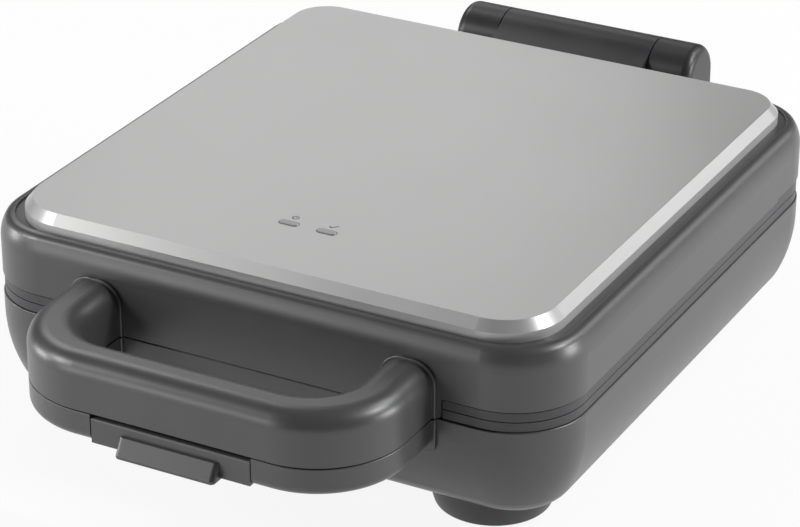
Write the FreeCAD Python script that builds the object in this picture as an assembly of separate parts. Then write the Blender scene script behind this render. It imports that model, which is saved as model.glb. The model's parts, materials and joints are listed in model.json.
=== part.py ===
import FreeCAD, Part
import math
import os

Vector = FreeCAD.Vector

# A countertop sandwich maker, closed. Millimetres, +Z up, +Y to the hinge at the back.
# The origin is on the floor, in the middle of the whole outline.

# Body outline, shared by lid and base
body_width = 264.6
body_depth = 273.8
body_corner = 31.3
shell_wall = 2.5

# Heights, stacked from the floor up
foot_height = 12.7
base_height = 41.9
groove_height = 8.8
lid_height = 26.2
top_plate_rise = 7.4

# Oval roundings of the lid's top edge and the base's bottom edge, and round lips at groove and recess
lid_round_in = 6.0
lid_round_down = 10.0
base_round_in = 16.5
base_round_up = 33.8
lip_round = 0.5

# Gaps and fits
body_gap = 0.4
seat_gap = 0.05
frame_fit = 0.2
plate_fit = 0.4
running_fit = 0.05
pin_fit = 0.02
screw_fit = 0.3
thread_fit = 0.1
lens_fit = 0.15

# Metal cover plate on the lid
cover_side_margin = 10.75
cover_front_margin = 7.05
cover_rear_margin = 10.35
cover_rear_corner = 19.5
cover_front_corner = 25.5
cover_bevel_in = 3.55
cover_bevel_drop = 4.1
cover_sheet = 1.2
cover_gap = 0.35
lid_recess_depth = 0.8

# Indicator lenses, lamps and their board
lens_length = 9.0
lens_width = 4.0
lens_proud = 0.4
lens_chamfer = 0.3
lens_spacing = 17.4
lens_from_cover_front = 40.35
lens_flange = 1.0
lamp_radius = 2.4
lamp_gap = 0.2
lamp_board_width = 46.0
lamp_board_depth = 16.0
lamp_board_sheet = 1.6
lamp_board_clear = 0.5
lamp_post_radius = 3.0
lamp_post_spacing = 36.0

# Lid edge: the front skirt between the handle roots, and the relief near the hinge
skirt_half_width = 85.3
skirt_corner = 1.5
relief_height = 1.5
relief_from_rear = 48.5

# Rim frames round the cooking plates, whose outer bands close the groove
band_inset = 0.6
frame_wall = 2.5
frame_ledge = 2.5
frame_tuck = 1.2

# Cooking plates
cook_margin = 19.3
cook_corner = 10.0
cook_flange = 4.0
cook_wall = 3.0
pocket_depth = 10.0
pocket_margin = 4.5
pocket_draft = 5.0
pocket_corner = 8.0
ridge_half = 1.5
tub_wall = 2.0
tub_corner = 8.0

# Heating elements, reflector sheets and what holds them
element_radius = 3.3
element_bend = 25.0
element_end_inset = 24.0
element_pin_radius = 1.6
element_pin_length = 10.0
element_lift = 0.1
shield_sheet = 0.6
shield_margin = 14.0
shield_clear = 1.1
shield_fold = 6.0
post_radius = 4.0
post_x = 22.0

# Fasteners
screw_radius = 1.5
screw_head_radius = 3.2
screw_head_height = 1.8
plate_screw_length = 6.0
lid_screw_length = 13.0
wall_screw_length = 14.0
lid_screw_inset = 11.3
lid_screw_y = 70.0
lid_post_radius = 4.2

# Thermostat and thermal fuse
thermostat_x = 30.0
thermostat_y = 30.0
thermostat_cup_radius = 8.5
thermostat_cup_height = 5.0
thermostat_body_radius = 7.0
thermostat_body_height = 7.0
thermostat_blade_width = 5.0
thermostat_blade_sheet = 0.8
thermostat_blade_height = 8.0
thermostat_blade_x = 3.6
thermostat_hole_radius = 10.0
fuse_radius = 2.6
fuse_length = 34.0
fuse_lead_radius = 0.6
fuse_lead_length = 8.0
fuse_y = -30.0

# Terminal block, wiring and cord gland
block_width = 34.0
block_depth = 18.0
block_height = 14.0
block_notch = 5.6
block_gap = 1.0
wire_radius = 1.2
lid_wire_half_span = 10.0
lead_gap = 0.5
block_wire_height = 7.0
gland_height = 38.0
gland_bore_radius = 3.9
gland_body_radius = 6.5
gland_flange_radius = 9.5
gland_flange = 2.5
gland_nut = 4.0

# Handle, split at the seam between lid and base
handle_reach = 60.6
handle_half_width = 82.2
handle_leg_width = 21.7
handle_bar_depth = 20.0
handle_outer_corner = 38.0
handle_inner_corner = 20.0
handle_height = 22.7
handle_round = 8.5
handle_seam_round = 0.4
handle_drop = 12.1
handle_bottom_round = 4.0
collar_lip = 1.3
collar_thickness = 1.5
collar_drop = 15.5
collar_bottom_round = 4.0
collar_edge_round = 0.5
handle_screw_rise = 15.4

# Latch in the front of the lower handle, hung from the upper handle
latch_half_width = 35.6
latch_side_gap = 0.5
latch_top_gap = 1.8
latch_sheet = 3.0
latch_top_round = 1.0
latch_tab_half_width = 22.3
latch_tab_proud = 5.1
latch_tab_top_proud = 1.2
latch_tab_top = 5.4
latch_tab_foot = 1.2
latch_tab_lip = 1.5
latch_tab_corner = 2.0
latch_tab_edge_round = 0.7
latch_pin_depth = 5.9
latch_pin_drop = 4.6
latch_pin_radius = 1.2
latch_pin_half_length = 24.5
latch_knuckle_radius = 2.6
latch_knuckle_half = 19.5
latch_web_half = 1.8
latch_ear_width = 4.0
latch_ear_front = 1.5
latch_end_play = 0.5
latch_recess_depth = 9.3
latch_hook_half = 18.0
latch_hook_reach = 6.7
latch_hook_height = 1.9
keeper_reach = 2.3
keeper_height = 2.0
keeper_rise = 2.5
keeper_half = 18.0

# Hinge
hinge_axis_reach = 33.1
hinge_axis_drop = 20.4
hinge_radius = 15.0
hinge_arm_half = 38.2
hinge_side_gap = 0.6
knuckle_width = 21.4
knuckle_end_round = 4.5
hinge_pin_radius = 3.0
knuckle_end_wall = 3.0
arm_rise = 5.0
arm_drop = 12.5
arm_flare = 10.0
knuckle_outer_elbow = 30.0
knuckle_inner_elbow = 5.0
knuckle_foot_top = 1.4
knuckle_foot_height = 20.0
hinge_screw_x = 20.0
hinge_screw_rise = 6.0
knuckle_screw_offset = 4.5

# Feet
foot_side_inset = 43.3
foot_end_inset = 39.2
foot_top_radius = 25.3
foot_bottom_radius = 22.1
foot_flank_height = 9.0
pad_radius = 18.0
pad_thickness = 3.8
pad_proud = 0.8
pad_fit = 0.1
foot_screw_radius = 2.0
foot_screw_head_radius = 4.5
foot_screw_head_height = 2.3
foot_screw_grip = 6.0
foot_post_radius = 6.0
foot_boss_radius = 5.0
foot_boss_past_shield = 0.4

# Vent slots in the base floor
vent_count = 6
vent_pitch = 12.0
vent_width = 3.0
vent_length = 30.0
vent_offset = 45.0

# Levels worked out from the stack
base_bottom_z = foot_height
base_top_z = base_bottom_z + base_height
lid_bottom_z = base_top_z + groove_height
lid_rim_z = lid_bottom_z + lid_height
cover_top_z = lid_rim_z + top_plate_rise
lid_recess_z = lid_rim_z - lid_recess_depth
lid_panel_z = lid_recess_z - shell_wall
lid_seam_z = base_top_z + body_gap
parting_z = base_top_z + groove_height / 2
upper_face_z = parting_z + body_gap / 2
lower_face_z = parting_z - body_gap / 2
hinge_z = cover_top_z - hinge_axis_drop
base_floor_z = base_bottom_z + shell_wall
base_wall_screw_z = base_bottom_z + base_round_up + screw_head_radius + screw_fit
lid_front_screw_z = base_top_z + handle_screw_rise
lid_rear_screw_z = lid_bottom_z + hinge_screw_rise

# Places along Y: the whole outline is centred on the origin
hinge_reach = hinge_axis_reach + hinge_radius
center_y = (handle_reach + latch_tab_proud - hinge_reach) / 2
front_y = center_y - body_depth / 2
rear_y = center_y + body_depth / 2
handle_front_y = front_y - handle_reach
hinge_y = rear_y + hinge_axis_reach

# Sizes worked out from the body
cover_width = body_width - 2 * cover_side_margin
cover_depth = body_depth - cover_front_margin - cover_rear_margin
cover_y = center_y + (cover_front_margin - cover_rear_margin) / 2
lid_recess_inset = cover_front_margin - cover_gap
cook_width = body_width - 2 * cook_margin
cook_depth = body_depth - 2 * cook_margin
skirt_wall = shell_wall - body_gap
frame_ledge_overlap = pocket_margin - tub_wall - plate_fit
tub_height = pocket_depth + cook_wall
element_z = tub_height + element_radius + element_lift
shield_z = element_z + element_radius + shield_clear
lamp_board_z = upper_face_z + shield_z + shield_sheet + lamp_board_clear + lamp_board_sheet
element_x = cook_width / 4
element_end_y = cook_depth / 2 - element_end_inset
post_y = cook_depth / 4
block_y = rear_y - base_round_in - block_gap - block_depth / 2
foot_x = body_width / 2 - foot_side_inset
foot_y = body_depth / 2 - foot_end_inset
foot_boss_z = shield_z + shield_sheet + foot_boss_past_shield
foot_post_top_z = lower_face_z - foot_boss_z
latch_pin_y = handle_front_y + latch_pin_depth
latch_pin_z = lid_seam_z - latch_pin_drop
latch_bottom_z = base_top_z - handle_drop
fuse_past = fuse_length / 2 + fuse_lead_length
handle_screw_x = handle_half_width - handle_leg_width / 2
foot_seat_z = pad_thickness + foot_screw_head_height + thread_fit

# Cutting tools run past a face by this much, or right through by the longer one.
PAST = 1.0
THROUGH = 400.0
# Edges are told apart by their bounds, to this much.
TOUCH = 0.01
X_AXIS = Vector(1, 0, 0)
Y_AXIS = Vector(0, 1, 0)
Z_AXIS = Vector(0, 0, 1)
SIDES = (-1, 1)
# The middle of a quarter arc lies this share of its radius in from each side of its corner.
ARC_SHARE = 1 - math.sqrt(0.5)


def box(low, high):
    """A box from its low corner to its high corner."""
    size = Vector(*high) - Vector(*low)
    return Part.makeBox(size.x, size.y, size.z, Vector(*low))


def cylinder_z(radius, x, y, bottom, top):
    return Part.makeCylinder(radius, top - bottom, Vector(x, y, bottom))


def cylinder_x(radius, left, right, y, z):
    return Part.makeCylinder(radius, right - left, Vector(left, y, z), X_AXIS)


def rounded_outline(width, depth, radius, z, middle_y=center_y, front_radius=None):
    """A closed wire: a rectangle on the middle plane, with round corners."""
    corners = []
    for side_x, side_y in ((1, 1), (-1, 1), (-1, -1), (1, -1)):
        corner_radius = front_radius if front_radius and side_y < 0 else radius
        x = side_x * (width / 2 - corner_radius)
        y = middle_y + side_y * (depth / 2 - corner_radius)
        corners.append((Vector(x, y, z), corner_radius))
    edges = []
    for turn, (center, corner_radius) in enumerate(corners):
        start = 90 * turn
        edges.append(Part.makeCircle(corner_radius, center, Z_AXIS, start, start + 90))
        along = math.radians(start + 90)
        out = Vector(math.cos(along), math.sin(along), 0)
        next_center, next_radius = corners[(turn + 1) % 4]
        edges.append(Part.makeLine(center + out * corner_radius, next_center + out * next_radius))
    return Part.Wire(edges)


def rounded_prism(width, depth, radius, bottom, top, middle_y=center_y, front_radius=None):
    outline = rounded_outline(width, depth, radius, bottom, middle_y, front_radius)
    return Part.Face(outline).extrude(Vector(0, 0, top - bottom))


def oval_quarter(start, corner, end):
    """Two tangent arcs that turn a corner like a quarter ellipse, the longer leg first."""
    long_leg = corner - start
    short_leg = end - corner
    long_half = long_leg.Length
    short_half = short_leg.Length
    across = math.hypot(long_half, short_half)
    tight = (across - long_half + short_half) / 2 * across / long_half
    wide = (across ** 2 - 2 * long_half * tight) / (2 * (short_half - tight))
    wide_center = start + short_leg * (wide / short_half)
    tight_center = end - long_leg * (tight / long_half)
    along = (tight_center - wide_center).normalize()
    meet = wide_center + along * wide
    edges = []
    for center, radius, first, last in ((wide_center, wide, start, meet), (tight_center, tight, meet, end)):
        middle = (first + last) / 2 - center
        edges.append(Part.Arc(first, center + middle.normalize() * radius, last).toShape())
    return edges


def edge_rounded_block(width, depth, corner, bottom, top, round_in, round_height, round_top):
    """A round-cornered block: one end has an oval rounding all the way round, the other a small lip."""
    flat, rounded = (bottom, top) if round_top else (top, bottom)
    spring = rounded - round_height if round_top else rounded + round_height
    axis_flat = Vector(0, 0, flat)
    lip = lip_round if round_top else -lip_round
    lip_in = Vector(corner - lip_round, 0, flat)
    lip_middle = Vector(corner - lip_round * ARC_SHARE, 0, flat + lip * ARC_SHARE)
    lip_out = Vector(corner, 0, flat + lip)
    side_spring = Vector(corner, 0, spring)
    side_corner = Vector(corner, 0, rounded)
    end_round = Vector(corner - round_in, 0, rounded)
    axis_round = Vector(0, 0, rounded)
    profile = Part.Face(Part.Wire([
        Part.makeLine(axis_flat, lip_in),
        Part.Arc(lip_in, lip_middle, lip_out).toShape(),
        Part.makeLine(lip_out, side_spring),
        *oval_quarter(side_spring, side_corner, end_round),
        Part.makeLine(end_round, axis_round),
        Part.makeLine(axis_round, axis_flat),
    ]))
    half_x = width / 2 - corner
    half_y = depth / 2 - corner
    places = ((half_x, half_y), (-half_x, half_y), (-half_x, -half_y), (half_x, -half_y))
    pieces = []
    for turn, (x, y) in enumerate(places):
        run = 2 * half_y if turn % 2 == 0 else 2 * half_x
        corner_piece = profile.revolve(Vector(), Z_AXIS, 90)
        side_piece = profile.extrude(Vector(0, -run, 0))
        for piece in (corner_piece, side_piece):
            piece.rotate(Vector(), Z_AXIS, 90 * turn)
            piece.translate(Vector(x, center_y + y, 0))
            pieces.append(piece)
    core = box((-half_x, center_y - half_y, bottom), (half_x, center_y + half_y, top))
    return core.multiFuse(pieces).removeSplitter()


def lid_block(grow, bottom, top):
    """The lid's outer form, grown all round by a distance (or shrunk, if negative)."""
    return edge_rounded_block(
        body_width + 2 * grow, body_depth + 2 * grow, body_corner + grow,
        bottom, top, lid_round_in + grow, lid_round_down + grow, True)


def base_block(grow, bottom, top):
    """The base's outer form, grown all round by a distance (or shrunk, if negative)."""
    return edge_rounded_block(
        body_width + 2 * grow, body_depth + 2 * grow, body_corner + grow,
        bottom, top, base_round_in + grow, base_round_up + grow, False)


def bent_tube(points, radius, bend):
    """A round tube along straight runs that are joined by tangent bends."""
    pieces = []
    start = points[0]
    for before, corner, after in zip(points, points[1:], points[2:]):
        way_in = (corner - before).normalize()
        way_out = (after - corner).normalize()
        turn = way_in.getAngle(way_out)
        setback = bend * math.tan(turn / 2)
        bend_start = corner - way_in * setback
        pieces.append(Part.makeCylinder(radius, (bend_start - start).Length, start, way_in))
        axis = way_in.cross(way_out).normalize()
        center = bend_start + axis.cross(way_in) * bend
        section = Part.Face(Part.Wire(Part.makeCircle(radius, bend_start, way_in)))
        pieces.append(section.revolve(center, axis, math.degrees(turn)))
        start = corner + way_out * setback
    last_run = points[-1] - start
    pieces.append(Part.makeCylinder(radius, last_run.Length, start, last_run))
    return pieces[0].multiFuse(pieces[1:]).removeSplitter()


def screw(seat, way, length, radius=screw_radius, head_radius=screw_head_radius,
          head_height=screw_head_height):
    """A pan-head screw whose head sits behind its seat, with its shank along its way."""
    head = Part.makeCylinder(head_radius, head_height, seat - way * head_height, way)
    return head.fuse(Part.makeCylinder(radius, length, seat, way)).removeSplitter()


def lengthwise_bore(radius, x, y, z, half_length):
    """A bore along Y, half on each side of a wall."""
    return Part.makeCylinder(radius, 2 * half_length, Vector(x, y - half_length, z), Y_AXIS)


def rounded_triangle(corners, inset, radius, z):
    """A closed wire that lies inside a triangle by an inset, with round corners."""
    lengths = []
    for index in range(3):
        lengths.append((corners[(index + 1) % 3] - corners[(index + 2) % 3]).Length)
    around = sum(lengths)
    middle = Vector()
    for corner, length in zip(corners, lengths):
        middle += corner * (length / around)
    area = (corners[1] - corners[0]).cross(corners[2] - corners[0]).z / 2
    shrink = 1 - (inset + radius) * around / (2 * abs(area))
    turn = 1 if area > 0 else -1
    centers = []
    for corner in corners:
        center = middle + (corner - middle) * shrink
        centers.append(Vector(center.x, center.y, z))
    outs = []
    for index in range(3):
        way = (centers[(index + 1) % 3] - centers[index]).normalize()
        outs.append(Vector(way.y, -way.x, 0) * (turn * radius))
    edges = []
    for index in range(3):
        after = (index + 1) % 3
        bulge = (outs[index] + outs[after]).normalize() * radius
        edges.append(Part.makeLine(centers[index] + outs[index], centers[after] + outs[index]))
        arc = Part.Arc(centers[after] + outs[index], centers[after] + bulge, centers[after] + outs[after])
        edges.append(arc.toShape())
    return Part.Wire(edges)


def pill(length, width, x, y, bottom, top):
    """An upright bar with half-round ends, long side along X."""
    right = Vector(x + (length - width) / 2, y, bottom)
    left = Vector(x - (length - width) / 2, y, bottom)
    out = Vector(0, width / 2, 0)
    outline = Part.Wire([
        Part.makeCircle(width / 2, right, Z_AXIS, -90, 90),
        Part.makeLine(right + out, left + out),
        Part.makeCircle(width / 2, left, Z_AXIS, 90, 270),
        Part.makeLine(left - out, right - out),
    ])
    return Part.Face(outline).extrude(Vector(0, 0, top - bottom))


def seat_in_lid(shape):
    """Stand a shape that is modelled upwards from a cooking face on the lid's face."""
    return shape.translated(Vector(0, 0, upper_face_z))


def seat_in_base(shape):
    """Hang a shape that is modelled upwards from a cooking face below the base's face."""
    return shape.mirror(Vector(), Z_AXIS).translated(Vector(0, 0, lower_face_z))


def corner_places(x, y):
    """The four places that lie x and y from the middle of the body."""
    places = []
    for side_y in SIDES:
        for side_x in SIDES:
            places.append((side_x * x, center_y + side_y * y))
    return places


def lens_places():
    lens_y = cover_y - cover_depth / 2 + lens_from_cover_front
    return [(-lens_spacing / 2, lens_y), (lens_spacing / 2, lens_y)]


def lid_shell():
    shell = lid_block(0, lid_bottom_z, lid_rim_z)
    shell = shell.cut(lid_block(-shell_wall, lid_bottom_z - shell_wall, lid_panel_z))
    skirt = box((-skirt_half_width, front_y, lid_seam_z),
                (skirt_half_width, front_y + skirt_wall, lid_bottom_z + shell_wall))
    low_corners = []
    for edge in skirt.Edges:
        if edge.BoundBox.ZMax < lid_seam_z + TOUCH and edge.BoundBox.XLength < TOUCH:
            low_corners.append(edge)
    shell = shell.fuse(skirt.makeFillet(skirt_corner, low_corners))
    shell = shell.cut(rounded_prism(body_width - 2 * lid_recess_inset, body_depth - 2 * lid_recess_inset,
                                    body_corner - lid_recess_inset, lid_recess_z, cover_top_z))
    recess_half = body_width / 2 - lid_recess_inset
    recess_lip = []
    for edge in shell.Edges:
        bounds = edge.BoundBox
        inside = bounds.XMax < recess_half + TOUCH and bounds.XMin > -recess_half - TOUCH
        if inside and bounds.ZMin > lid_rim_z - TOUCH:
            recess_lip.append(edge)
    shell = shell.makeFillet(lip_round, recess_lip)
    shell = shell.cut(box((-body_width, rear_y - relief_from_rear, lid_seam_z),
                          (body_width, rear_y + shell_wall, lid_bottom_z + relief_height)))
    posts = []
    for x, y in corner_places(body_width / 2 - lid_screw_inset, lid_screw_y):
        posts.append(cylinder_z(lid_post_radius, x, y, upper_face_z + cook_flange,
                                lid_panel_z + shell_wall / 2))
    lens_y = lens_places()[0][1]
    for side in SIDES:
        x = side * lamp_post_spacing / 2
        posts.append(cylinder_z(lamp_post_radius, x, lens_y, lamp_board_z,
                                lid_panel_z + shell_wall / 2))
    shell = shell.multiFuse(posts)
    holes = []
    for x, y in corner_places(body_width / 2 - lid_screw_inset, lid_screw_y):
        top = upper_face_z + cook_flange + lid_screw_length
        holes.append(cylinder_z(screw_radius + thread_fit, x, y, upper_face_z, top))
    for x, y in lens_places():
        holes.append(pill(lens_length + 2 * lens_fit, lens_width + 2 * lens_fit, x, y,
                          lid_panel_z - shell_wall, lid_recess_z + shell_wall))
    for side in SIDES:
        holes.append(lengthwise_bore(screw_radius + screw_fit, side * handle_screw_x, front_y,
                                     lid_front_screw_z, 2 * shell_wall))
        holes.append(lengthwise_bore(screw_radius + screw_fit, side * hinge_screw_x, rear_y,
                                     lid_rear_screw_z, 2 * shell_wall))
    for hole in holes:
        shell = shell.cut(hole)
    return shell.removeSplitter()


def cover_solid(grow_side, bottom, bevel_z, top, flat_shrink):
    """A round-cornered plate with a bevel all round its top edge."""
    width = cover_width + 2 * grow_side
    depth = cover_depth + 2 * grow_side
    rear = cover_rear_corner + grow_side
    front = cover_front_corner + grow_side
    flat_in = cover_bevel_in + flat_shrink
    low = rounded_outline(width, depth, rear, bevel_z, cover_y, front)
    high = rounded_outline(cover_width - 2 * flat_in, cover_depth - 2 * flat_in,
                           cover_rear_corner - flat_in, top, cover_y, cover_front_corner - flat_in)
    bevel = Part.makeLoft([low, high], True, True)
    return rounded_prism(width, depth, rear, bottom, bevel_z, cover_y, front).fuse(bevel)


def lid_cover():
    """The bevelled sheet-metal cover that sits in the lid's recess."""
    bevel_angle = math.atan2(cover_bevel_drop, cover_bevel_in)
    bevel_z = cover_top_z - cover_bevel_drop
    outside = cover_solid(0, lid_recess_z, bevel_z, cover_top_z, 0)
    inner_bevel_z = bevel_z - cover_sheet * math.tan((math.pi / 2 - bevel_angle) / 2)
    inside = cover_solid(-cover_sheet, lid_recess_z - cover_sheet, inner_bevel_z,
                         cover_top_z - cover_sheet, cover_sheet * math.tan(bevel_angle / 2))
    cover = outside.cut(inside)
    for x, y in lens_places():
        cover = cover.cut(pill(lens_length + 2 * lens_fit, lens_width + 2 * lens_fit, x, y,
                               lid_recess_z, cover_top_z + cover_sheet))
    return cover.removeSplitter()


def lens(place):
    """A pill-shaped light guide with its flange under the lid's panel."""
    x, y = place
    stem = pill(lens_length, lens_width, x, y, lid_panel_z - lens_flange, cover_top_z + lens_proud)
    flange = pill(lens_length + 2 * lens_flange, lens_width + 2 * lens_flange, x, y,
                  lid_panel_z - lens_flange, lid_panel_z)
    rim = [edge for edge in stem.Edges if edge.BoundBox.ZMin > cover_top_z]
    return stem.makeChamfer(lens_chamfer, rim).fuse(flange).removeSplitter()


def lamp_board():
    y = lens_places()[0][1]
    return box((-lamp_board_width / 2, y - lamp_board_depth / 2, lamp_board_z - lamp_board_sheet),
               (lamp_board_width / 2, y + lamp_board_depth / 2, lamp_board_z))


def indicator_lamps():
    lamp_top = lid_panel_z - lens_flange - lamp_gap
    lamps = []
    for x, y in lens_places():
        lamps.append(cylinder_z(lamp_radius, x, y, lamp_board_z, lamp_top))
    return Part.makeCompound(lamps)


def rim_band(top):
    """The outer band of a rim frame, open at the front for the lid's skirt, from the cooking face up."""
    band = rounded_prism(body_width - 2 * band_inset, body_depth - 2 * band_inset, body_corner - band_inset,
                         0, top)
    notch = skirt_half_width + body_gap
    return band.cut(box((-notch, front_y, -PAST), (notch, front_y + shell_wall + frame_fit, THROUGH)))


def rim_frame(tuck_top, band):
    """The moulded ring that carries a cooking plate, modelled upwards from the cooking face."""
    inset = shell_wall + frame_fit
    width = body_width - 2 * inset
    depth = body_depth - 2 * inset
    corner = body_corner - inset
    window = 2 * plate_fit
    ledge_top = cook_flange + frame_ledge
    frame = rounded_prism(width, depth, corner, 0, tuck_top).fuse(band)
    frame = frame.cut(rounded_prism(width - 2 * frame_wall, depth - 2 * frame_wall, corner - frame_wall,
                                    cook_flange, THROUGH))
    around = window + 2 * frame_wall
    frame = frame.fuse(rounded_prism(cook_width + around, cook_depth + around,
                                     cook_corner + plate_fit + frame_wall, 0, ledge_top))
    frame = frame.cut(rounded_prism(cook_width + window, cook_depth + window, cook_corner + plate_fit,
                                    -PAST, cook_flange))
    ledge = 2 * frame_ledge_overlap
    frame = frame.cut(rounded_prism(cook_width - ledge, cook_depth - ledge,
                                    cook_corner - frame_ledge_overlap, -PAST, THROUGH))
    return frame.removeSplitter()


def lid_rim_frame():
    band_top = lid_bottom_z - body_gap - upper_face_z
    band = rim_band(band_top + relief_height)
    band = band.cut(box((-body_width, front_y, band_top),
                        (body_width, rear_y - relief_from_rear + body_gap, THROUGH)))
    frame = rim_frame(lid_bottom_z + frame_tuck - upper_face_z, band)
    for x, y in corner_places(body_width / 2 - lid_screw_inset, lid_screw_y):
        frame = frame.cut(cylinder_z(screw_radius + screw_fit, x, y, -PAST, cook_flange + PAST))
        frame = frame.cut(cylinder_z(screw_head_radius + screw_fit, x, y, -PAST, cook_flange / 2))
    return seat_in_lid(frame)


def base_rim_frame():
    band_top = lower_face_z - base_top_z - body_gap
    return seat_in_base(rim_frame(lower_face_z - base_top_z + frame_tuck, rim_band(band_top)))


def lid_screws():
    seat_z = upper_face_z + cook_flange / 2
    screws = []
    for x, y in corner_places(body_width / 2 - lid_screw_inset, lid_screw_y):
        screws.append(screw(Vector(x, y, seat_z), Z_AXIS, lid_screw_length))
    return Part.makeCompound(screws)


def pocket(corners):
    """One drafted triangular pocket for half a sandwich."""
    mouth = rounded_triangle(corners, ridge_half, pocket_corner, 0)
    floor = rounded_triangle(corners, ridge_half + pocket_draft, pocket_corner - pocket_draft, pocket_depth)
    return Part.makeLoft([mouth, floor], True, True)


def cooking_plate():
    """A cast plate with four sandwich wells, each split by a diagonal ridge; face down at zero."""
    plate = rounded_prism(cook_width, cook_depth, cook_corner, 0, cook_flange)
    half_x = cook_width / 4 - pocket_margin
    half_y = cook_depth / 4 - pocket_margin
    tubs = []
    pockets = []
    for side_x in SIDES:
        for side_y in SIDES:
            middle = Vector(side_x * cook_width / 4, center_y + side_y * cook_depth / 4, 0)
            tub = rounded_prism(2 * (half_x + tub_wall), 2 * (half_y + tub_wall), tub_corner,
                                0, tub_height, middle.y)
            tubs.append(tub.translated(Vector(middle.x, 0, 0)))
            inner = middle - Vector(side_x * half_x, side_y * half_y, 0)
            outer = middle + Vector(side_x * half_x, side_y * half_y, 0)
            for third in (Vector(outer.x, inner.y, 0), Vector(inner.x, outer.y, 0)):
                pockets.append(pocket([inner, outer, third]))
    plate = plate.multiFuse(tubs)
    for x, y in corner_places(post_x, post_y):
        plate = plate.fuse(cylinder_z(post_radius, x, y, tub_height - PAST, shield_z))
    for hollow in pockets:
        plate = plate.cut(hollow)
    for x, y in corner_places(post_x, post_y):
        bottom = shield_z - plate_screw_length
        plate = plate.cut(cylinder_z(screw_radius + thread_fit, x, y, bottom, shield_z + PAST))
    return plate.removeSplitter()


def lower_plate():
    """The base's cooking plate also has the bosses that the screws from the feet pull on."""
    plate = cooking_plate()
    for x, y in corner_places(foot_x, foot_y):
        plate = plate.fuse(cylinder_z(foot_boss_radius, x, y, tub_height - PAST, foot_boss_z))
    for x, y in corner_places(foot_x, foot_y):
        bottom = foot_boss_z - foot_screw_grip - PAST
        plate = plate.cut(cylinder_z(foot_screw_radius + thread_fit, x, y, bottom, foot_boss_z + PAST))
    return seat_in_base(plate.removeSplitter())


def heating_element():
    """A tubular element bent to a U, with a connection pin at each end."""
    front = center_y - element_end_y
    back = center_y + element_end_y
    tube = bent_tube([
        Vector(-element_x, back, element_z),
        Vector(-element_x, front, element_z),
        Vector(element_x, front, element_z),
        Vector(element_x, back, element_z),
    ], element_radius, element_bend)
    for side in SIDES:
        pin = Part.makeCylinder(element_pin_radius, element_pin_length + PAST,
                                Vector(side * element_x, back - PAST, element_z), Y_AXIS)
        tube = tube.fuse(pin)
    return tube.removeSplitter()


def heat_shield():
    """A folded reflector sheet behind the element, screwed to the plate's posts."""
    width = cook_width - 2 * shield_margin
    depth = cook_depth - 2 * shield_margin
    front = center_y - depth / 2
    back = center_y + depth / 2
    sheet = box((-width / 2, front, shield_z), (width / 2, back, shield_z + shield_sheet))
    for side in SIDES:
        outer = side * width / 2
        inner = side * (width / 2 - shield_sheet)
        fold = box((min(outer, inner), front, shield_z - shield_fold), (max(outer, inner), back, shield_z))
        sheet = sheet.fuse(fold)
    for x, y in corner_places(post_x, post_y):
        sheet = sheet.cut(cylinder_z(screw_radius + screw_fit, x, y, shield_z - PAST, shield_z + PAST))
    return sheet.removeSplitter()


def lower_shield():
    sheet = heat_shield()
    clear = foot_boss_radius + screw_fit
    for x, y in corner_places(foot_x, foot_y):
        sheet = sheet.cut(cylinder_z(clear, x, y, shield_z - PAST, shield_z + PAST))
    sheet = sheet.cut(cylinder_z(thermostat_hole_radius, thermostat_x, center_y + thermostat_y,
                                 shield_z - PAST, shield_z + PAST))
    return seat_in_base(sheet)


def plate_screws():
    seat = shield_z + shield_sheet
    screws = []
    for x, y in corner_places(post_x, post_y):
        screws.append(screw(Vector(x, y, seat), Z_AXIS * -1, plate_screw_length))
    return Part.makeCompound(screws)


def thermostat():
    """A snap-disc thermostat against the lower plate's back, with two blade terminals."""
    y = center_y + thermostat_y
    cup_top = tub_height + thermostat_cup_height
    body_top = cup_top + thermostat_body_height
    shape = cylinder_z(thermostat_cup_radius, thermostat_x, y, tub_height, cup_top)
    shape = shape.fuse(cylinder_z(thermostat_body_radius, thermostat_x, y, cup_top, body_top))
    for side in SIDES:
        x = thermostat_x + side * thermostat_blade_x
        blade = box((x - thermostat_blade_sheet / 2, y - thermostat_blade_width / 2, body_top),
                    (x + thermostat_blade_sheet / 2, y + thermostat_blade_width / 2,
                     body_top + thermostat_blade_height))
        shape = shape.fuse(blade)
    return seat_in_base(shape.removeSplitter())


def thermal_fuse():
    """A sleeved one-shot fuse that lies on the upper plate's back."""
    y = center_y + fuse_y
    z = tub_height + fuse_radius + element_lift
    sleeve = cylinder_x(fuse_radius, -fuse_length / 2, fuse_length / 2, y, z)
    leads = cylinder_x(fuse_lead_radius, -fuse_past, fuse_past, y, z)
    return seat_in_lid(sleeve.fuse(leads).removeSplitter())


def lead(start, end):
    """A straight lead between two points."""
    return Part.makeCylinder(wire_radius, (end - start).Length, start, end - start)


def lid_wiring():
    """The two leads from the hinge side of the lid to the element's pins."""
    z = upper_face_z + element_z
    pin_end = center_y + element_end_y + element_pin_length + wire_radius
    wall_y = rear_y - shell_wall - wire_radius - lead_gap
    leads = []
    for side in SIDES:
        leads.append(lead(Vector(side * element_x, pin_end, z), Vector(side * lid_wire_half_span, wall_y, z)))
    return Part.makeCompound(leads)


def base_wiring():
    """The two leads from the terminal block to the lower element's pins."""
    high = lower_face_z - element_z
    low = base_floor_z + block_wire_height
    pin_end = center_y + element_end_y + element_pin_length + wire_radius
    leads = []
    for side in SIDES:
        leads.append(lead(Vector(side * element_x, pin_end, high),
                          Vector(side * (block_width / 2 + wire_radius), block_y, low)))
    return Part.makeCompound(leads)


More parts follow.
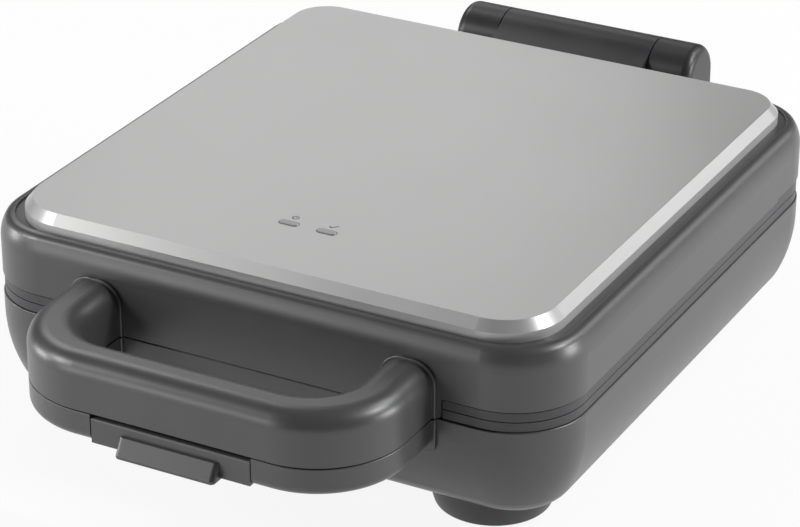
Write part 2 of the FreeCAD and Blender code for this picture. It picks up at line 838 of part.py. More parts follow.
def terminal_block():
    """The block on the base's floor where the leads meet, with two clamp notches."""
    block = box((-block_width / 2, block_y - block_depth / 2, base_floor_z),
                (block_width / 2, block_y + block_depth / 2, base_floor_z + block_height))
    for side in SIDES:
        x = side * block_width / 4
        low = (x - block_notch / 2, block_y - block_depth, base_floor_z + block_height / 2)
        high = (x + block_notch / 2, block_y + block_depth, base_floor_z + THROUGH)
        block = block.cut(box(low, high))
    return block


def base_shell():
    shell = base_block(0, base_bottom_z, base_top_z)
    shell = shell.cut(base_block(-shell_wall, base_floor_z, base_top_z + shell_wall))
    posts = []
    for x, y in corner_places(foot_x, foot_y):
        posts.append(cylinder_z(foot_post_radius, x, y, base_bottom_z + shell_wall / 2, foot_post_top_z))
    shell = shell.multiFuse(posts)
    holes = []
    for x, y in corner_places(foot_x, foot_y):
        holes.append(cylinder_z(foot_screw_radius + screw_fit, x, y, 0, foot_post_top_z + PAST))
    for side in SIDES:
        holes.append(lengthwise_bore(screw_radius + screw_fit, side * handle_screw_x, front_y,
                                     base_wall_screw_z, 2 * shell_wall))
        knuckle_x = side * (hinge_arm_half + hinge_side_gap + knuckle_width / 2)
        for offset in (-knuckle_screw_offset, knuckle_screw_offset):
            holes.append(lengthwise_bore(screw_radius + screw_fit, knuckle_x + offset, rear_y,
                                         base_wall_screw_z, 2 * shell_wall))
        for index in range(vent_count):
            x = (index - (vent_count - 1) / 2) * vent_pitch
            y = center_y + side * vent_offset
            slot = pill(vent_length, vent_width, x, y, 0, base_floor_z + PAST)
            slot.rotate(Vector(x, y, 0), Z_AXIS, 90)
            holes.append(slot)
    holes.append(lengthwise_bore(gland_body_radius + seat_gap, 0, rear_y, gland_height, 2 * shell_wall))
    for hole in holes:
        shell = shell.cut(hole)
    return shell.removeSplitter()


def cord_gland():
    """The bush in the base's rear wall that the supply cord passes through."""
    outer_end = rear_y + gland_flange
    inner_end = rear_y - shell_wall - gland_nut
    flange = Part.makeCylinder(gland_flange_radius, THROUGH, Vector(0, outer_end, gland_height), Y_AXIS * -1)
    flange = flange.cut(base_block(seat_gap, base_bottom_z, base_top_z))
    flange = flange.cut(box((-THROUGH, -THROUGH, 0), (THROUGH, center_y, THROUGH)))
    nut = Part.makeCylinder(gland_flange_radius, THROUGH, Vector(0, inner_end, gland_height), Y_AXIS)
    nut = nut.common(base_block(-shell_wall - seat_gap, base_floor_z, base_top_z))
    body = Part.makeCylinder(gland_body_radius, outer_end - inner_end,
                             Vector(0, inner_end, gland_height), Y_AXIS)
    gland = body.fuse(flange).fuse(nut)
    bore = lengthwise_bore(gland_bore_radius, 0, rear_y, gland_height, THROUGH / 2)
    return gland.cut(bore).removeSplitter()


def handle_outline(bottom, top):
    """The U of the handle in plan, with its legs run on into the body."""
    past = front_y + handle_outer_corner
    outer = box((-handle_half_width, handle_front_y, bottom), (handle_half_width, past, top))
    gap = handle_half_width - handle_leg_width
    inner = box((-gap, handle_front_y + handle_bar_depth, bottom - PAST), (gap, past + PAST, top + PAST))
    outer = outer.makeFillet(handle_outer_corner, front_uprights(outer))
    inner = inner.makeFillet(handle_inner_corner, front_uprights(inner))
    return outer.cut(inner)


def front_uprights(block):
    """The two upright edges at a block's front."""
    front = block.BoundBox.YMin
    edges = []
    for edge in block.Edges:
        if edge.BoundBox.YMax < front + TOUCH and edge.BoundBox.XLength < TOUCH:
            edges.append(edge)
    return edges


def collar(bottom, top, rounding, round_top):
    """The thin flanges round the handle's two roots, against the body's front wall."""
    inner = handle_half_width - handle_leg_width - collar_lip
    outer = handle_half_width + collar_lip
    pieces = []
    for side in SIDES:
        low = (min(side * inner, side * outer), front_y - collar_thickness, bottom)
        high = (max(side * inner, side * outer), front_y + handle_outer_corner, top)
        block = box(low, high)
        level = block.BoundBox.ZMax if round_top else block.BoundBox.ZMin
        edges = []
        for edge in block.Edges:
            if edge.BoundBox.YLength > collar_thickness and abs(edge.BoundBox.ZMin - level) < TOUCH:
                edges.append(edge)
        block = block.makeFillet(rounding, edges)
        face_edges = []
        for edge in block.Edges:
            if edge.BoundBox.YMax < front_y - collar_thickness + TOUCH:
                face_edges.append(edge)
        pieces.append(block.makeFillet(collar_edge_round, face_edges))
    return pieces


def upper_handle():
    """The lid's half of the handle: a round-topped U, with the ears that the latch hangs in."""
    top = base_top_z + handle_height
    handle = handle_outline(lid_seam_z, top)
    handle = handle.makeFillet(handle_round, level_edges(handle, top))
    handle = handle.makeFillet(handle_seam_round, level_edges(handle, lid_seam_z))
    handle = handle.multiFuse(collar(lid_seam_z, top + collar_lip, handle_round + collar_lip, True))
    handle = handle.cut(lid_block(seat_gap, lid_seam_z - PAST, lid_rim_z))
    ears = []
    for side in SIDES:
        inner = side * (latch_knuckle_half + latch_end_play)
        outer = side * (latch_knuckle_half + latch_end_play + latch_ear_width)
        left = min(inner, outer)
        right = max(inner, outer)
        ears.append(box((left, latch_pin_y - latch_ear_front, latch_pin_z),
                        (right, latch_pin_y + latch_knuckle_radius, lid_seam_z + PAST)))
        ears.append(cylinder_x(latch_knuckle_radius, left, right, latch_pin_y, latch_pin_z))
    handle = handle.multiFuse(ears)
    handle = handle.cut(cylinder_x(latch_pin_radius + pin_fit, -latch_half_width, latch_half_width,
                                   latch_pin_y, latch_pin_z))
    for side in SIDES:
        handle = handle.cut(lengthwise_bore(screw_radius + thread_fit, side * handle_screw_x, front_y,
                                            lid_front_screw_z, wall_screw_length))
    return handle.removeSplitter()


def level_edges(handle, level):
    """The edges round the U at a level, without the ends that run into the body."""
    edges = []
    for edge in handle.Edges:
        bounds = edge.BoundBox
        at_level = bounds.ZMin > level - TOUCH and bounds.ZMax < level + TOUCH
        if at_level and bounds.YMin < front_y:
            edges.append(edge)
    return edges


def lower_handle():
    """The base's half of the handle, with the recess and keeper for the latch."""
    handle = handle_outline(latch_bottom_z, base_top_z)
    handle = handle.makeFillet(handle_bottom_round, level_edges(handle, latch_bottom_z))
    handle = handle.makeFillet(handle_seam_round, level_edges(handle, base_top_z))
    handle = handle.multiFuse(collar(base_top_z - collar_drop, base_top_z, collar_bottom_round, False))
    handle = handle.cut(base_block(seat_gap, base_bottom_z, base_top_z + PAST))
    recess_half = latch_half_width + latch_side_gap
    back = handle_front_y + latch_recess_depth
    handle = handle.cut(box((-recess_half, handle_front_y - PAST, 0), (recess_half, back, THROUGH)))
    keeper_z = latch_bottom_z + keeper_rise
    handle = handle.fuse(box((-keeper_half, back - keeper_reach, keeper_z),
                             (keeper_half, back + PAST, keeper_z + keeper_height)))
    for side in SIDES:
        handle = handle.cut(lengthwise_bore(screw_radius + thread_fit, side * handle_screw_x, front_y,
                                            base_wall_screw_z, wall_screw_length))
    return handle.removeSplitter()


def latch():
    """The swinging latch plate, with its pull tab, hook and pin knuckle."""
    front = handle_front_y
    top = lid_seam_z - latch_top_gap
    plate = box((-latch_half_width, front, latch_bottom_z), (latch_half_width, front + latch_sheet, top))
    crest = []
    for edge in plate.Edges:
        if edge.BoundBox.ZMin > top - TOUCH and edge.BoundBox.YMax < front + TOUCH:
            crest.append(edge)
    plate = plate.makeFillet(latch_top_round, crest)
    tab_left = -latch_tab_half_width
    tab_top = base_top_z - latch_tab_top
    tab_front = front - latch_tab_proud
    tab_bottom = latch_bottom_z - latch_tab_foot
    inside = front + latch_sheet / 2
    tab_side = Part.makePolygon([
        Vector(tab_left, inside, tab_top),
        Vector(tab_left, front - latch_tab_top_proud, tab_top),
        Vector(tab_left, tab_front, tab_bottom + latch_tab_lip),
        Vector(tab_left, tab_front, tab_bottom),
        Vector(tab_left, inside, tab_bottom),
        Vector(tab_left, inside, tab_top),
    ])
    tab = Part.Face(tab_side).extrude(X_AXIS * (2 * latch_tab_half_width))
    corners = []
    for edge in tab.Edges:
        if edge.BoundBox.XLength < TOUCH and edge.BoundBox.YMax < front and edge.BoundBox.ZLength > TOUCH:
            corners.append(edge)
    tab = tab.makeFillet(latch_tab_corner, corners)
    rim = []
    for edge in tab.Edges:
        level = edge.BoundBox.ZLength < TOUCH
        if level and edge.BoundBox.YMin < front and edge.BoundBox.XLength > TOUCH:
            rim.append(edge)
    tab = tab.makeFillet(latch_tab_edge_round, rim)
    knuckle = cylinder_x(latch_knuckle_radius, -latch_knuckle_half, latch_knuckle_half,
                         latch_pin_y, latch_pin_z)
    web = box((-latch_knuckle_half, front + latch_sheet / 2, latch_pin_z - latch_web_half),
              (latch_knuckle_half, latch_pin_y, latch_pin_z + latch_web_half))
    hook = box((-latch_hook_half, front + latch_sheet / 2, latch_bottom_z),
               (latch_hook_half, front + latch_hook_reach, latch_bottom_z + latch_hook_height))
    shape = plate.multiFuse([tab, knuckle, web, hook])
    shape = shape.cut(cylinder_x(latch_pin_radius + running_fit, -latch_half_width, latch_half_width,
                                 latch_pin_y, latch_pin_z))
    return shape.removeSplitter()


def latch_pin():
    return cylinder_x(latch_pin_radius, -latch_pin_half_length, latch_pin_half_length,
                      latch_pin_y, latch_pin_z)


def hinge_point(x, y, z):
    """A point given from the hinge axis."""
    return Vector(x, hinge_y + y, hinge_z + z)


def lid_hinge_arm():
    """The lid's hinge barrel, with a hollow-topped neck that flares into the lid's rear wall."""
    half = hinge_arm_half + arm_flare
    wall = -hinge_axis_reach - lid_round_in
    hollow = (hinge_axis_reach ** 2 - hinge_radius ** 2 + arm_rise ** 2) / (2 * (hinge_radius - arm_rise))
    hollow_center = hinge_point(-half, -hinge_axis_reach, arm_rise + hollow)
    axis_point = hinge_point(-half, 0, 0)
    meets_wall = hinge_point(-half, -hinge_axis_reach, arm_rise)
    meets_barrel = axis_point + (hollow_center - axis_point).normalize() * hinge_radius
    middle = ((meets_wall + meets_barrel) / 2 - hollow_center).normalize()
    under_axis = hinge_point(-half, 0, -arm_drop)
    side_view = Part.Face(Part.Wire([
        Part.Arc(meets_barrel, hollow_center + middle * hollow, meets_wall).toShape(),
        Part.makeLine(meets_wall, hinge_point(-half, wall, arm_rise)),
        Part.makeLine(hinge_point(-half, wall, arm_rise), hinge_point(-half, wall, -arm_drop)),
        Part.makeLine(hinge_point(-half, wall, -arm_drop), under_axis),
        Part.makeLine(under_axis, axis_point),
        Part.makeLine(axis_point, meets_barrel),
    ]))
    neck = side_view.extrude(X_AXIS * (2 * half))
    neck = neck.common(flared_plan(wall))
    barrel = cylinder_x(hinge_radius, -hinge_arm_half, hinge_arm_half, hinge_y, hinge_z)
    arm = barrel.fuse(neck).cut(lid_block(seat_gap, lid_bottom_z - PAST, lid_rim_z))
    arm = arm.cut(cylinder_x(hinge_pin_radius + running_fit, -half, half, hinge_y, hinge_z))
    for side in SIDES:
        arm = arm.cut(lengthwise_bore(screw_radius + thread_fit, side * hinge_screw_x, rear_y,
                                      lid_rear_screw_z, wall_screw_length))
    return arm.removeSplitter()


def flared_plan(wall):
    """The neck's plan, as an upright block: straight at the barrel, flared at the lid."""
    narrow = hinge_arm_half
    wide = hinge_arm_half + arm_flare
    low = -THROUGH / 2
    near = -hinge_axis_reach + arm_flare
    bulge = arm_flare * ARC_SHARE
    edges = []
    for side in SIDES:
        flare = Part.Arc(
            hinge_point(side * narrow, near, low),
            hinge_point(side * (narrow + bulge), -hinge_axis_reach + bulge, low),
            hinge_point(side * wide, -hinge_axis_reach, low))
        edges.append(flare.toShape())
        edges.append(Part.makeLine(hinge_point(side * wide, -hinge_axis_reach, low),
                                   hinge_point(side * wide, wall, low)))
        edges.append(Part.makeLine(hinge_point(side * narrow, near, low),
                                   hinge_point(side * narrow, hinge_radius, low)))
    edges.append(Part.makeLine(hinge_point(-wide, wall, low), hinge_point(wide, wall, low)))
    edges.append(Part.makeLine(hinge_point(-narrow, hinge_radius, low),
                               hinge_point(narrow, hinge_radius, low)))
    outline = Part.Wire(Part.__sortEdges__(edges))
    return Part.Face(outline).extrude(Vector(0, 0, THROUGH))


def hinge_knuckle(side):
    """One of the base's two hinge ends: a closed barrel on an elbow from the rear wall."""
    inner = hinge_arm_half + hinge_side_gap
    outer = inner + knuckle_width
    left = inner if side > 0 else -outer
    foot_top = base_top_z - knuckle_foot_top - hinge_z
    foot_bottom = foot_top - knuckle_foot_height
    wall = -hinge_axis_reach - base_round_in
    rear = hinge_radius
    front = -hinge_radius
    rear_turn = hinge_point(left, rear, foot_bottom + knuckle_outer_elbow)
    rear_bulge = hinge_point(left, rear - knuckle_outer_elbow * ARC_SHARE,
                             foot_bottom + knuckle_outer_elbow * ARC_SHARE)
    rear_end = hinge_point(left, rear - knuckle_outer_elbow, foot_bottom)
    front_turn = hinge_point(left, front - knuckle_inner_elbow, foot_top)
    front_bulge = hinge_point(left, front - knuckle_inner_elbow * ARC_SHARE,
                              foot_top + knuckle_inner_elbow * ARC_SHARE)
    front_end = hinge_point(left, front, foot_top + knuckle_inner_elbow)
    crown = Part.Arc(hinge_point(left, front, 0), hinge_point(left, 0, hinge_radius),
                     hinge_point(left, rear, 0))
    side_view = Part.Face(Part.Wire([
        crown.toShape(),
        Part.makeLine(hinge_point(left, rear, 0), rear_turn),
        Part.Arc(rear_turn, rear_bulge, rear_end).toShape(),
        Part.makeLine(rear_end, hinge_point(left, wall, foot_bottom)),
        Part.makeLine(hinge_point(left, wall, foot_bottom), hinge_point(left, wall, foot_top)),
        Part.makeLine(hinge_point(left, wall, foot_top), front_turn),
        Part.Arc(front_turn, front_bulge, front_end).toShape(),
        Part.makeLine(front_end, hinge_point(left, front, 0)),
    ]))
    knuckle = side_view.extrude(X_AXIS * knuckle_width)
    rim = []
    for edge in knuckle.Edges:
        bounds = edge.BoundBox
        at_end = bounds.XLength < TOUCH and abs(bounds.XMin - side * outer) < TOUCH
        at_wall = bounds.YLength < TOUCH and bounds.YMin < rear_y
        if at_end and not at_wall:
            rim.append(edge)
    knuckle = knuckle.makeFillet(knuckle_end_round, rim)
    knuckle = knuckle.cut(base_block(seat_gap, base_bottom_z, base_top_z + PAST))
    pin_end = outer - knuckle_end_wall
    knuckle = knuckle.cut(cylinder_x(hinge_pin_radius + pin_fit, -pin_end, pin_end, hinge_y, hinge_z))
    for offset in (-knuckle_screw_offset, knuckle_screw_offset):
        knuckle = knuckle.cut(lengthwise_bore(
            screw_radius + thread_fit, side * (inner + knuckle_width / 2) + offset, rear_y,
            base_wall_screw_z, wall_screw_length))
    return knuckle.removeSplitter()


def hinge_pin():
    half = hinge_arm_half + hinge_side_gap + knuckle_width - knuckle_end_wall - pin_fit
    return cylinder_x(hinge_pin_radius, -half, half, hinge_y, hinge_z)


def wall_screws(places, wall_y, way, z):
    """Screws through a front or rear wall from inside, at places along X."""
    inside = wall_y - way.y * shell_wall
    return Part.makeCompound([screw(Vector(x, inside, z), way, wall_screw_length) for x in places])


def knuckle_screws():
    middle = hinge_arm_half + hinge_side_gap + knuckle_width / 2
    places = []
    for side in SIDES:
        for offset in (-knuckle_screw_offset, knuckle_screw_offset):
            places.append(side * middle + offset)
    return wall_screws(places, rear_y, Y_AXIS, base_wall_screw_z)


def foot(place):
    """A round foot with a bowed flank, and a pocket for its pad and for the screw under it."""
    x, y = place
    top = base_bottom_z + base_round_up
    shoulder = Vector(foot_top_radius, 0, pad_proud + foot_flank_height)
    outer_foot = Vector(foot_top_radius, 0, pad_proud)
    inner_foot = Vector(foot_bottom_radius, 0, pad_proud)
    side_view = Part.Face(Part.Wire([
        Part.makeLine(Vector(0, 0, top), Vector(foot_top_radius, 0, top)),
        Part.makeLine(Vector(foot_top_radius, 0, top), shoulder),
        *oval_quarter(shoulder, outer_foot, inner_foot),
        Part.makeLine(inner_foot, Vector(0, 0, pad_proud)),
        Part.makeLine(Vector(0, 0, pad_proud), Vector(0, 0, top)),
    ]))
    shape = side_view.revolve(Vector(), Z_AXIS, 360).translated(Vector(x, y, 0))
    shape = shape.cut(base_block(seat_gap, base_bottom_z, base_top_z))
    shape = shape.cut(cylinder_z(pad_radius + pad_fit, x, y, 0, pad_thickness))
    shape = shape.cut(cylinder_z(foot_screw_head_radius + screw_fit, x, y, 0, foot_seat_z))
    return shape.cut(cylinder_z(foot_screw_radius + screw_fit, x, y, 0, base_top_z)).removeSplitter()


def foot_pads():
    """Soft discs in the feet, which stand proud of them on the table."""
    pads = []
    for x, y in corner_places(foot_x, foot_y):
        pads.append(cylinder_z(pad_radius, x, y, 0, pad_thickness))
    return Part.makeCompound(pads)


def base_screws():
    """Long screws from under the feet, through the base's posts, into the lower plate."""
    length = foot_post_top_z + foot_screw_grip - foot_seat_z
    screws = []
    for x, y in corner_places(foot_x, foot_y):
        screws.append(screw(Vector(x, y, foot_seat_z), Z_AXIS, length, foot_screw_radius,
                            foot_screw_head_radius, foot_screw_head_height))
    return Part.makeCompound(screws)


handle_screw_places = (-handle_screw_x, handle_screw_x)
foot_names = ("front_left_foot", "front_right_foot", "rear_left_foot", "rear_right_foot")

parts = {
    "lid_shell": lid_shell(),
    "lid_cover": lid_cover(),
    "power_lens": lens(lens_places()[0]),
    "ready_lens": lens(lens_places()[1]),
    "lamp_board": lamp_board(),
    "indicator_lamps": indicator_lamps(),
    "lid_rim_frame": lid_rim_frame(),
    "lid_screws": lid_screws(),
    "upper_cooking_plate": seat_in_lid(cooking_plate()),
    "upper_heating_element": seat_in_lid(heating_element()),
    "upper_heat_shield": seat_in_lid(heat_shield()),
    "upper_plate_screws": seat_in_lid(plate_screws()),
    "thermal_fuse": thermal_fuse(),
    "lid_wiring": lid_wiring(),
    "upper_handle": upper_handle(),
    "upper_handle_screws": wall_screws(handle_screw_places, front_y, Y_AXIS * -1,
                                       lid_front_screw_z),
    "lid_hinge_arm": lid_hinge_arm(),
    "hinge_arm_screws": wall_screws((-hinge_screw_x, hinge_screw_x), rear_y, Y_AXIS,
                                    lid_rear_screw_z),
    "latch": latch(),
    "latch_pin": latch_pin(),
    "base_shell": base_shell(),
    "base_rim_frame": base_rim_frame(),
    "lower_cooking_plate": lower_plate(),
    "lower_heating_element": seat_in_base(heating_element()),
    "lower_heat_shield": lower_shield(),
    "lower_plate_screws": seat_in_base(plate_screws()),
    "thermostat": thermostat(),
    "terminal_block": terminal_block(),
    "base_wiring": base_wiring(),
    "cord_gland": cord_gland(),
    "lower_handle": lower_handle(),
    "lower_handle_screws": wall_screws(handle_screw_places, front_y, Y_AXIS * -1,
                                       base_wall_screw_z),
    "left_hinge_knuckle": hinge_knuckle(-1),
    "right_hinge_knuckle": hinge_knuckle(1),
    "knuckle_screws": knuckle_screws(),
    "hinge_pin": hinge_pin(),
    "foot_pads": foot_pads(),
    "base_screws": base_screws(),
}
for name, place in zip(foot_names, corner_places(foot_x, foot_y)):
    parts[name] = foot(place)

os.makedirs("parts", exist_ok=True)
for name, shape in parts.items():
    if not shape.isValid():
        raise ValueError(name + " is not a valid solid")
    shape.exportStep("parts/" + name + ".step")
    print(name, len(shape.Solids), round(shape.Volume))
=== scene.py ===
import json
import math
import bpy
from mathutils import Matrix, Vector


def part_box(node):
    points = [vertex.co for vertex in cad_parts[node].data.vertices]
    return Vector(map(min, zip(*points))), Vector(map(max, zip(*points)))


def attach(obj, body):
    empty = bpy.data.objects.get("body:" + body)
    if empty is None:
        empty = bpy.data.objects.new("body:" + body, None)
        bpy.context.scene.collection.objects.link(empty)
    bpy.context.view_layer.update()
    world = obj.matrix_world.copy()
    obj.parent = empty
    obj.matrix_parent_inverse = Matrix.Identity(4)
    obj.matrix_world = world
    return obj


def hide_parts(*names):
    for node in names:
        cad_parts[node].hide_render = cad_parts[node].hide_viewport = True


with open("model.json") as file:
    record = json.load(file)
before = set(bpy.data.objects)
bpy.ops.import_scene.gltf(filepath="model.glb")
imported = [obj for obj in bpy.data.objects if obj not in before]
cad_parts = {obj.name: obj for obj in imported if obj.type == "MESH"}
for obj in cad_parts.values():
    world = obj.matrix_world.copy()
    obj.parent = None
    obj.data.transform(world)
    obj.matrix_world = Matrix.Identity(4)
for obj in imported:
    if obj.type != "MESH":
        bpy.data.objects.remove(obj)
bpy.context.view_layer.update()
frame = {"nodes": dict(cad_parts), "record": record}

# The photograph's camera: where it looks, from how far, and from which side
VIEW_POINT = Vector((0.0035, -0.0088, 0.050))
VIEW_DISTANCE = 1.362
VIEW_AZIMUTH = math.radians(28.19)
VIEW_ELEVATION = math.radians(26.53)
VIEW_LENS_MM = 144.0

# The studio: a round floor, and lamps on a sphere round the object
STUDIO_RADIUS = 6.0
FLOOR_WHITE_SHARE = 0.9
AIR_LIGHT = 0.05
LAMP_AIM = Vector((0.0, 0.0, 0.06))
LAMP_DISTANCE = 1.6

# Sizes of the small pieces that are finished here, in metres
SCREW_HEAD_RADIUS = 0.0032
SCREW_HEAD_HEIGHT = 0.0018
SCREW_HEAD_ROUND = 0.0008
SCREW_SHANK_RADIUS = 0.0015
SCREW_POINT_LENGTH = 0.002
SCREW_POINT_SHARE = 0.35
RECESS_LENGTH = 0.0036
RECESS_WIDTH = 0.0009
RECESS_DEPTH = 0.0022
RECESS_TAPER = 0.6
PAD_RADIUS = 0.018
PAD_ROUND = 0.0005
PAD_RINGS = 3
RING_SPACE = 0.0026
GROOVE_WIDTH = 0.0014
GROOVE_DEPTH = 0.0006
GROOVE_SLOPE = 0.0003
MARK_HEIGHT = 0.0034
MARK_STROKE = 0.0005
MARK_FROM_LENS = 0.0026
PRINT_FILM = 0.00004
RING_RADIUS = MARK_HEIGHT * 0.46
RING_HALF_GAP = math.radians(35.0)
BAR_LENGTH = MARK_HEIGHT * 0.5
BAR_RISE = MARK_HEIGHT * 0.30
TICK_LONG = MARK_HEIGHT * 0.95
TICK_SHORT = MARK_HEIGHT * 0.42
TICK_TURN = math.radians(42.0)
TICK_SHIFT = (-MARK_HEIGHT * 0.1, -MARK_HEIGHT * 0.42, 0.0)
SMOOTH_ANGLE = math.radians(32.0)


def start_finish(name):
    """A new material: the material, its node tree, its shader and its object coordinates."""
    finish = bpy.data.materials.new(name)
    finish.use_nodes = True
    tree = finish.node_tree
    shader = tree.nodes["Principled BSDF"]
    place = tree.nodes.new("ShaderNodeTexCoord").outputs["Object"]
    return finish, tree, shader, place


def stretch(tree, place, scale):
    """Coordinates stretched along the axes, for brushed or rolled grain."""
    mapping = tree.nodes.new("ShaderNodeMapping")
    mapping.inputs["Scale"].default_value = scale
    tree.links.new(place, mapping.inputs["Vector"])
    return mapping.outputs["Vector"]


def grain(tree, place, scale, detail=2.0):
    """Noise at a number of cells per metre."""
    noise = tree.nodes.new("ShaderNodeTexNoise")
    noise.inputs["Scale"].default_value = scale
    noise.inputs["Detail"].default_value = detail
    tree.links.new(place, noise.inputs["Vector"])
    return noise.outputs["Fac"]


def color_between(tree, shader, fac, low, high, dark, light):
    """The base colour, from dark to light where the pattern goes from low to high."""
    ramp = tree.nodes.new("ShaderNodeValToRGB")
    ramp.color_ramp.elements[0].position = low
    ramp.color_ramp.elements[0].color = (*dark, 1.0)
    ramp.color_ramp.elements[1].position = high
    ramp.color_ramp.elements[1].color = (*light, 1.0)
    tree.links.new(fac, ramp.inputs["Fac"])
    tree.links.new(ramp.outputs["Color"], shader.inputs["Base Color"])


def roughness_between(tree, shader, fac, smooth, rough):
    """The roughness, from smooth to rough over the middle of the pattern."""
    spread = tree.nodes.new("ShaderNodeMapRange")
    spread.inputs["From Min"].default_value = 0.3
    spread.inputs["From Max"].default_value = 0.7
    spread.inputs["To Min"].default_value = smooth
    spread.inputs["To Max"].default_value = rough
    tree.links.new(fac, spread.inputs["Value"])
    tree.links.new(spread.outputs["Result"], shader.inputs["Roughness"])


def relief(tree, shader, height, strength, distance):
    """Fine relief of the surface, in metres."""
    bump = tree.nodes.new("ShaderNodeBump")
    bump.inputs["Strength"].default_value = strength
    bump.inputs["Distance"].default_value = distance
    tree.links.new(height, bump.inputs["Height"])
    tree.links.new(bump.outputs["Normal"], shader.inputs["Normal"])


def moulded_plastic(name, dark, light, smooth, rough, grain_depth, ior=1.5):
    """Satin moulded plastic: a fine spark-eroded grain and a faint cloud in its colour."""
    finish, tree, shader, place = start_finish(name)
    cloud = grain(tree, place, 55.0, 3.0)
    fine = grain(tree, place, 2600.0, 2.0)
    color_between(tree, shader, cloud, 0.3, 0.7, dark, light)
    roughness_between(tree, shader, cloud, smooth, rough)
    relief(tree, shader, fine, 0.25, grain_depth)
    shader.inputs["IOR"].default_value = ior
    return finish


def bare_metal(name, dark, light, smooth, rough, lines, relief_depth):
    """Bare metal: rolled lines along an axis, or an even grain where the scale is the same on all three."""
    finish, tree, shader, place = start_finish(name)
    brushed = grain(tree, stretch(tree, place, lines), 1.0, 3.0)
    color_between(tree, shader, brushed, 0.25, 0.75, dark, light)
    roughness_between(tree, shader, brushed, smooth, rough)
    relief(tree, shader, brushed, 0.3, relief_depth)
    shader.inputs["Metallic"].default_value = 1.0
    return finish


def satin_sheet(name, dark, light, smooth, rough, metallic):
    """Blasted and lacquered sheet: an even fine grain and a very faint cloud, with no brush lines."""
    finish, tree, shader, place = start_finish(name)
    cloud = grain(tree, place, 18.0, 2.0)
    fine = grain(tree, place, 3200.0, 2.0)
    color_between(tree, shader, cloud, 0.3, 0.7, dark, light)
    roughness_between(tree, shader, cloud, smooth, rough)
    relief(tree, shader, fine, 0.12, 0.00001)
    shader.inputs["Metallic"].default_value = metallic
    return finish


def speckled_coating(name, base, fleck):
    """A non-stick coating: dark, with small pale flecks and a slight orange peel."""
    finish, tree, shader, place = start_finish(name)
    flecks = tree.nodes.new("ShaderNodeTexVoronoi")
    flecks.inputs["Scale"].default_value = 520.0
    tree.links.new(place, flecks.inputs["Vector"])
    color_between(tree, shader, flecks.outputs["Distance"], 0.10, 0.22, fleck, base)
    peel = grain(tree, place, 700.0, 2.0)
    roughness_between(tree, shader, peel, 0.34, 0.46)
    relief(tree, shader, peel, 0.3, 0.00008)
    shader.inputs["Coat Weight"].default_value = 0.25
    shader.inputs["Coat Roughness"].default_value = 0.3
    return finish


def soft_rubber(name, dark, light):
    """Matt rubber with a dusty bloom."""
    finish, tree, shader, place = start_finish(name)
    bloom = grain(tree, place, 160.0, 5.0)
    fine = grain(tree, place, 1800.0, 2.0)
    color_between(tree, shader, bloom, 0.3, 0.75, dark, light)
    roughness_between(tree, shader, bloom, 0.62, 0.82)
    relief(tree, shader, fine, 0.35, 0.0001)
    return finish


def woven_sleeve(name, dark, light):
    """A glass-fibre sleeve: slanting threads."""
    finish, tree, shader, place = start_finish(name)
    threads = tree.nodes.new("ShaderNodeTexWave")
    threads.wave_type = "BANDS"
    threads.bands_direction = "DIAGONAL"
    threads.inputs["Scale"].default_value = 420.0
    threads.inputs["Distortion"].default_value = 1.5
    threads.inputs["Detail Scale"].default_value = 300.0
    tree.links.new(place, threads.inputs["Vector"])
    color_between(tree, shader, threads.outputs["Fac"], 0.1, 0.9, dark, light)
    relief(tree, shader, threads.outputs["Fac"], 0.5, 0.0002)
    shader.inputs["Roughness"].default_value = 0.8
    return finish


def light_guide(name, dark, light):
    """Smooth pale plastic that takes the lamp's light, with a slight milkiness."""
    finish, tree, shader, place = start_finish(name)
    milk = grain(tree, place, 300.0, 3.0)
    color_between(tree, shader, milk, 0.3, 0.7, dark, light)
    roughness_between(tree, shader, milk, 0.22, 0.34)
    shader.inputs["Coat Weight"].default_value = 0.4
    shader.inputs["Coat Roughness"].default_value = 0.12
    return finish


def glass_lamp(name, dark, light):
    """A small glow lamp's glass."""
    finish, tree, shader, place = start_finish(name)
    milk = grain(tree, place, 500.0, 2.0)
    color_between(tree, shader, milk, 0.3, 0.7, dark, light)
    roughness_between(tree, shader, milk, 0.05, 0.15)
    shader.inputs["Transmission Weight"].default_value = 0.6
    return finish


def fired_ceramic(name, dark, light):
    """Pale fired ceramic with fine pores."""
    finish, tree, shader, place = start_finish(name)
    pores = grain(tree, place, 900.0, 4.0)
    color_between(tree, shader, pores, 0.25, 0.6, dark, light)
    roughness_between(tree, shader, pores, 0.55, 0.7)
    relief(tree, shader, pores, 0.3, 0.0001)
    return finish


